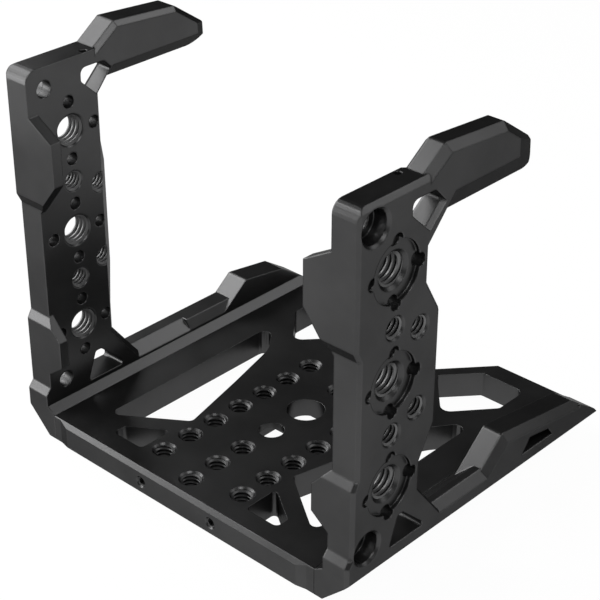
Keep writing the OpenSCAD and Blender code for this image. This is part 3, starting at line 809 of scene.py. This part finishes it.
@dataclass
class SidePlate:
    """Side plate of one hand, whose post holds three mounts and four small threads.

    Attributes:
        side: The hand.
        outer_x: Distance of the post's outer face from the middle.
        wall: Thickness of the post.
        line_y: Place of the line of mounts behind the front of the feet.
        first_z: Height of the lowest mount.
        pitch_z: Distance between mounts.
        mount_count: Number of mounts.
        recess: Depth of the ring round each mount.
        mount_radius: Radius of the mounts' bores.
        mount_pitch: Rise of one turn of their threads.
        mount_mouth: Depth of their outer countersinks.
        mount_inner_mouth: Depth of their inner countersinks.
        mount_steps: Straight pieces in one turn of their threads.
        tap_radius: Radius of the small bores.
        tap_pitch: Rise of one turn of their threads.
        tap_mouth: Depth of their outer countersinks.
        tap_inner_mouth: Depth of their inner countersinks.
        line_dz: Height of the two on the line of mounts, from the middle mount.
        side_dy: Distance of the other two behind that line.
        side_dz: Height of those two, from the middle mount.
        bevel_y: Where the post's inner rear bevel meets its inner face.
    """

    side: Side
    outer_x: float = 66.3
    wall: float = 8.8
    line_y: float = 16.7
    first_z: float = 33.35
    pitch_z: float = 32.55
    mount_count: int = 3
    recess: float = 1.3
    mount_radius: float = 4.7625
    mount_pitch: float = 1.5875
    mount_mouth: float = 1.0375
    mount_inner_mouth: float = 0.4375
    mount_steps: int = 48
    tap_radius: float = 3.175
    tap_pitch: float = 1.27
    tap_mouth: float = 0.575
    tap_inner_mouth: float = 0.275
    line_dz: float = 16.275
    side_dy: float = 10.0
    side_dz: float = 12.450375
    bevel_y: float = 27.4

    def tap_spots(self) -> list[tuple[float, float]]:
        """Lists the small threads: two on the line of the mounts and two behind it.

        Returns:
            Y and Z of each, in millimetres.
        """
        middle = self.first_z + self.pitch_z
        rear_y = self.line_y + self.side_dy
        return [
            (self.line_y, middle - self.line_dz), (self.line_y, middle + self.line_dz),
            (rear_y, middle - self.side_dz), (rear_y, middle + self.side_dz),
        ]

    def across(self, y: float, z: float, origin_y: float) -> Matrix:
        """Turns an upright pattern to run out through the plate from its inner face.

        Args:
            y: Distance behind the front of the feet, in millimetres.
            z: Height, in millimetres.
            origin_y: Distance from the front of the feet to the frame's origin.

        Returns:
            The pattern's place and turn.
        """
        inner = self.side.value * (self.outer_x - self.wall)
        spot = Matrix.Translation((inner * MM, (y - origin_y) * MM, z * MM))
        return spot @ Matrix.Rotation(self.side.value * math.pi / 2, 4, "Y")

    def trimmed(self, pattern: bpy.types.Object) -> bpy.types.Object:
        """Cuts a rear thread off where the post's inner rear bevel crosses it.

        Args:
            pattern: The whole thread, which stays as it is.

        Returns:
            The cut copy.
        """
        made = Bench.copy(pattern, "trimmed", Matrix.Identity(4))
        Bench.edit(made)
        bevel = (self.bevel_y - self.line_y - self.side_dy) * MM
        bpy.ops.mesh.bisect(
            plane_co=(0, bevel, 0), plane_no=(0, 1, -1), use_fill=True, clear_outer=True,
            threshold=WELD,
        )
        bpy.ops.object.mode_set(mode="OBJECT")
        Bench.close_up(made)
        return made

    def build(self, finish: bpy.types.Material, origin_y: float) -> list[bpy.types.Object]:
        """Lines the post's holes.

        Args:
            finish: The threads' finish.
            origin_y: Distance from the front of the feet to the frame's origin.

        Returns:
            The pieces made.
        """
        made = []
        hand = self.side.name.lower()
        mount = Thread(
            radius=self.mount_radius * MM, pitch=self.mount_pitch * MM,
            length=(self.wall - self.recess) * MM, low_mouth=self.mount_inner_mouth * MM,
            high_mouth=self.mount_mouth * MM, steps=self.mount_steps,
        ).build()
        for i in range(self.mount_count):
            place = self.across(self.line_y, self.first_z + i * self.pitch_z, origin_y)
            name = f"{hand}_mount_thread_{i + 1}"
            made.append(Bench.put(mount, name, place, Slot.ANODISED, finish))
        Bench.discard(mount)
        whole = Thread(
            radius=self.tap_radius * MM, pitch=self.tap_pitch * MM, length=self.wall * MM,
            low_mouth=self.tap_inner_mouth * MM, high_mouth=self.tap_mouth * MM,
        ).build()
        trimmed = self.trimmed(whole)
        for i, (y, z) in enumerate(self.tap_spots()):
            pattern = whole if y < self.bevel_y - self.tap_radius else trimmed
            place = self.across(y, z, origin_y)
            name = f"{hand}_post_thread_{i + 1}"
            made.append(Bench.put(pattern, name, place, Slot.ANODISED, finish))
        Bench.discard(whole)
        Bench.discard(trimmed)
        return made


@dataclass
class Joint:
    """Countersunk screws and dowel pins that hold the plates together.

    The screws stand in a row on each side, and the pins between the first two
    and the last two of them. Heights are above the underside of the plates.

    Attributes:
        x: Distance of the row from the middle of the cage.
        first_y: Place of the first screw behind the front of the feet.
        pitch: Distance between screws.
        count: Number of screws in a row.
        head_radius: Radius of the head.
        shank_radius: Radius of the shank.
        sunk: Height of the head's face.
        rim: Height of the head's straight rim.
        length: Length of the screw.
        point: Length of its tapered end.
        point_share: Width of its end, as a share of the shank.
        socket_radius: Radius of the socket, at its corners.
        socket_depth: Depth of the socket.
        socket_sides: Number of the socket's sides.
        overrun: How far the socket's cut starts below the face.
        edge: Width of the bevels on the screw's edges.
        pin_radius: Radius of a pin.
        pin_low: Height of its lower end.
        pin_length: Its length.
        pin_chamfer: Width of its bevels.
        sides: Sides of the screws and pins.
        edge_segments: Faces across a bevel.
        edge_angle: Edges that turn by more degrees are bevelled.
        smooth_angle: Edges that turn by more degrees stay sharp.
        level: Least upward part of the normal of a face that looks up.
        start_step: Turn from each piece to the next, in radians.
        made: The pieces made so far.
    """

    x: float = 49.85
    first_y: float = 14.0
    pitch: float = 18.0
    count: int = 6
    head_radius: float = 3.8
    shank_radius: float = 2.0
    sunk: float = 0.2
    rim: float = 0.4
    length: float = 7.4
    point: float = 0.4
    point_share: float = 0.8
    socket_radius: float = 1.45
    socket_depth: float = 1.4
    socket_sides: int = 6
    overrun: float = 1.0
    edge: float = 0.08
    pin_radius: float = 1.5
    pin_low: float = 0.6
    pin_length: float = 6.0
    pin_chamfer: float = 0.3
    sides: int = 48
    edge_segments: int = 2
    edge_angle: float = 40.0
    smooth_angle: float = 30.0
    level: float = 0.9
    start_step: float = 0.9
    made: list[bpy.types.Object] = field(default_factory=list, init=False)

    def soften(self, body: bpy.types.Object, width: float) -> None:
        """Bevels the sharp edges of a piece and shades it.

        Args:
            body: The piece.
            width: Width of the bevels, in millimetres.
        """
        Bench.apply(
            body, "BEVEL", width=width * MM, segments=self.edge_segments,
            limit_method="ANGLE", angle_limit=math.radians(self.edge_angle),
        )
        Bench.smooth(body, self.smooth_angle)

    def screw(self) -> bpy.types.Object:
        """Makes the pattern of the screws, whose point is up.

        Returns:
            Screw with a countersunk head and a six-sided socket.
        """
        head, low = self.head_radius * MM, self.sunk * MM
        rim = low + self.rim * MM
        neck = rim + (self.head_radius - self.shank_radius) * MM
        top = low + self.length * MM
        body = Bench.cylinder("screw", head, head, low, rim, self.sides)
        Bench.hold(body)
        Bench.pick(body, "polygons", lambda face: face.normal.z > self.level)
        shrink = self.shank_radius / self.head_radius
        Bench.extrude(0, neck - rim)
        bpy.ops.transform.resize(value=(shrink, shrink, 1), center_override=(0, 0, neck))
        Bench.extrude(0, top - neck - self.point * MM)
        Bench.extrude(0, self.point * MM)
        bpy.ops.transform.resize(
            value=(self.point_share, self.point_share, 1), center_override=(0, 0, top),
        )
        bpy.ops.object.mode_set(mode="OBJECT")
        key = self.socket_radius * MM
        socket = Bench.cylinder(
            "socket", key, key, low - self.overrun * MM, low + self.socket_depth * MM,
            self.socket_sides,
        )
        Bench.cut(body, socket)
        self.soften(body, self.edge)
        return body

    def pin(self) -> bpy.types.Object:
        """Makes the pattern of the pins.

        Returns:
            Dowel pin with chamfered ends.
        """
        radius, low = self.pin_radius * MM, self.pin_low * MM
        body = Bench.cylinder("pin", radius, radius, low, low + self.pin_length * MM, self.sides)
        self.soften(body, self.pin_chamfer)
        return body

    def fit(self, pattern: bpy.types.Object, node: str, side: Side, y: float, slot: Slot,
            finish: bpy.types.Material) -> None:
        """Copies a pattern to its place, where it stands for a CAD node.

        Args:
            pattern: The screw or pin.
            node: Name of the CAD node.
            side: The hand that it is on.
            y: Its place along the frame's Y, in millimetres.
            slot: The slot that is passed on to Bench.put.
            finish: Its material.
        """
        spot = Matrix.Translation((side.value * self.x * MM, y * MM, 0))
        turn = Matrix.Rotation(len(self.made) * self.start_step, 4, "Z")
        piece = Bench.put(pattern, f"{node}_detail", spot @ turn, slot, finish)
        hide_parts(node)
        self.made.append(piece)

    def build(self, black: bpy.types.Material, bright: bpy.types.Material,
              origin_y: float) -> list[bpy.types.Object]:
        """Puts in the screws and pins.

        Args:
            black: The screws' finish.
            bright: The pins' finish.
            origin_y: Distance from the front of the feet to the frame's origin.

        Returns:
            The pieces made.
        """
        screw, pin = self.screw(), self.pin()
        last = self.first_y + (self.count - 1) * self.pitch
        ends = {"front": self.first_y + self.pitch / 2, "rear": last - self.pitch / 2}
        for side in Side:
            hand = side.name.lower()
            for i in range(self.count):
                y = self.first_y + i * self.pitch - origin_y
                self.fit(screw, f"{hand}_screw_{i + 1}", side, y, Slot.FASTENER, black)
            for name, y in ends.items():
                self.fit(pin, f"{hand}_{name}_dowel", side, y - origin_y, Slot.PIN, bright)
        Bench.discard(screw)
        Bench.discard(pin)
        return self.made


@dataclass
class Cage:
    """The whole cage: its plates, threads and joint.

    Its origin_y is the distance from the front of the feet to the frame's origin.
    """

    origin_y: float = 58.25
    base: BasePlate = field(default_factory=BasePlate)
    sides: tuple[SidePlate, ...] = field(
        default_factory=lambda: tuple(SidePlate(side) for side in Side))
    joint: Joint = field(default_factory=Joint)

    @staticmethod
    def dress(nodes: dict, finish: bpy.types.Material,
              floor_finish: bpy.types.Material) -> list[bpy.types.Object]:
        """Gives the three plates their finishes.

        Args:
            nodes: The CAD nodes by name.
            finish: Finish of the side plates.
            floor_finish: Finish of the base plate.

        Returns:
            The plates.
        """
        finishes = {
            "base_plate": floor_finish, "left_side_plate": finish, "right_side_plate": finish,
        }
        for name, material in finishes.items():
            nodes[name].data.materials.clear()
            nodes[name].data.materials.append(material)
        return [nodes[name] for name in finishes]


@dataclass
class Lamp:
    """A soft square lamp that looks at the cage."""

    name: str
    towards: Point
    distance: float
    size: float
    power: float

    def build(self, target: Vector) -> bpy.types.Object:
        """Hangs the lamp in its direction from the target.

        Args:
            target: The point that it looks at.

        Returns:
            The lamp.
        """
        data = bpy.data.lights.new(self.name, "AREA")
        data.shape, data.size, data.energy = "SQUARE", self.size, self.power
        lamp = bpy.data.objects.new(self.name, data)
        direction = Vector(self.towards).normalized()
        lamp.location = target + direction * self.distance
        lamp.rotation_euler = direction.to_track_quat("Z", "Y").to_euler()
        bpy.context.scene.collection.objects.link(lamp)
        return lamp


@dataclass
class Studio:
    """Camera, lamps, floor and world. Its angles are in degrees."""

    lens: float = 101.576
    sensor: float = 36.0
    nearest: float = 0.01
    farthest: float = 50.0
    place: Point = (0.297302, -0.326209, 0.301322)
    azimuth: float = 42.821
    elevation: float = 29.958
    roll: float = 0.185
    target: Point = (0.0, 0.0, 0.05)
    # Direction from the target, distance, size and power of each lamp.
    lamps: tuple[Lamp, ...] = (
        Lamp("key", (-0.85, -0.2, 0.5), 0.7, 0.5, 3.5),
        Lamp("slope_fill", (-0.311, -0.206, 0.517), 0.64, 0.2, 0.85),
        Lamp("front_fill", (-0.45, -0.8, 0.4), 0.7, 0.5, 1.2),
        Lamp("low_fill", (-0.7, -0.6, 0.1), 0.5, 0.25, 1.2),
        Lamp("rear_rim", (0.2, 0.635, 0.75), 1.3, 0.5, 2.0),
        Lamp("right_rim", (0.51, 0.635, 0.6), 1.3, 0.8, 2.8),
        Lamp("left_fill", (-0.35, 0.05, 0.2), 0.41, 0.2, 0.8),
        Lamp("top_fill", (0.57, -0.34, 0.66), 0.9, 0.45, 3.0),
    )
    sky: float = 0.03
    floor_size: float = 8.0
    floor_drop: float = 0.0002
    floor_colour: float = 0.9
    floor_glow: float = 0.97

    def camera(self) -> None:
        """Puts the camera where the photograph was taken from."""
        data = bpy.data.cameras.new("camera")
        data.lens, data.sensor_width, data.sensor_fit = self.lens, self.sensor, "AUTO"
        data.clip_start, data.clip_end = self.nearest, self.farthest
        camera = bpy.data.objects.new("camera", data)
        bpy.context.scene.collection.objects.link(camera)
        turn = (
            Matrix.Rotation(math.radians(self.azimuth), 4, "Z")
            @ Matrix.Rotation(math.radians(90 - self.elevation), 4, "X")
            @ Matrix.Rotation(math.radians(self.roll), 4, "Z")
        )
        camera.matrix_world = Matrix.Translation(self.place) @ turn
        bpy.context.scene.camera = camera

    def floor(self) -> None:
        """Lays a pale floor that looks white and keeps a soft shadow."""
        Bench.clear()
        bpy.ops.mesh.primitive_plane_add(
            size=self.floor_size, location=(0, 0, -self.floor_drop),
        )
        floor = bpy.context.object
        floor.name = "floor"
        material = bpy.data.materials.new("floor")
        shader = Shader(material)
        colour = (self.floor_colour, self.floor_colour, self.floor_colour, 1)
        matte = shader.node("ShaderNodeBsdfDiffuse", {}, {"Color": colour})
        glow = shader.node("ShaderNodeEmission", {}, {"Color": WHITE, "Strength": 1.0})
        seen = (
            shader.node("ShaderNodeLightPath", {}, {}, "Is Camera Ray")
            + shader.node("ShaderNodeLightPath", {}, {}, "Is Glossy Ray")
            + shader.node("ShaderNodeLightPath", {}, {}, "Is Transmission Ray")
        ).clamped()
        amount = seen * self.floor_glow
        both = shader.node("ShaderNodeMixShader", {}, {0: amount, 1: matte, 2: glow})
        shader.node("ShaderNodeOutputMaterial", {}, {"Surface": both})
        floor.data.materials.append(material)

    def world(self) -> None:
        """Adds a dim even light from all round; the floor fills the picture."""
        world = bpy.data.worlds.new("studio")
        bpy.context.scene.world = world
        shader = Shader(world)
        sky = shader.node("ShaderNodeBackground", {}, {"Color": WHITE, "Strength": self.sky})
        shader.node("ShaderNodeOutputWorld", {}, {"Surface": sky})

    def build(self) -> list[bpy.types.Object]:
        """Sets everything up.

        Returns:
            The lamps.
        """
        bpy.context.scene.view_settings.view_transform = "Standard"
        self.camera()
        self.floor()
        self.world()
        return [lamp.build(Vector(self.target)) for lamp in self.lamps]


def report(title: str, things: list[bpy.types.Object]) -> None:
    """Logs each piece of a sub-assembly by its name."""
    for thing in things:
        LOG.info("%s: %s", title, thing.name)


def main() -> None:
    """Builds the cage and its studio."""
    logging.basicConfig(level=logging.INFO, format="%(name)s: %(message)s")
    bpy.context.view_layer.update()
    plates, floor_plate = PLATES.make(), FLOOR_PLATE.make()
    lit_post_threads, shaded_floor_threads = LIT_POST_THREADS.make(), SHADED_FLOOR_THREADS.make()
    screw_steel, pin_steel = SCREW_STEEL.make(), PIN_STEEL.make()
    cage = Cage()
    report("plate", cage.dress(frame["nodes"], plates, floor_plate))
    report("floor", cage.base.build(shaded_floor_threads, cage.origin_y))
    for side in cage.sides:
        report("post", side.build(lit_post_threads, cage.origin_y))
    report("joint", cage.joint.build(screw_steel, pin_steel, cage.origin_y))
    report("lamp", Studio().build())


if __name__ == "__main__":
    main()
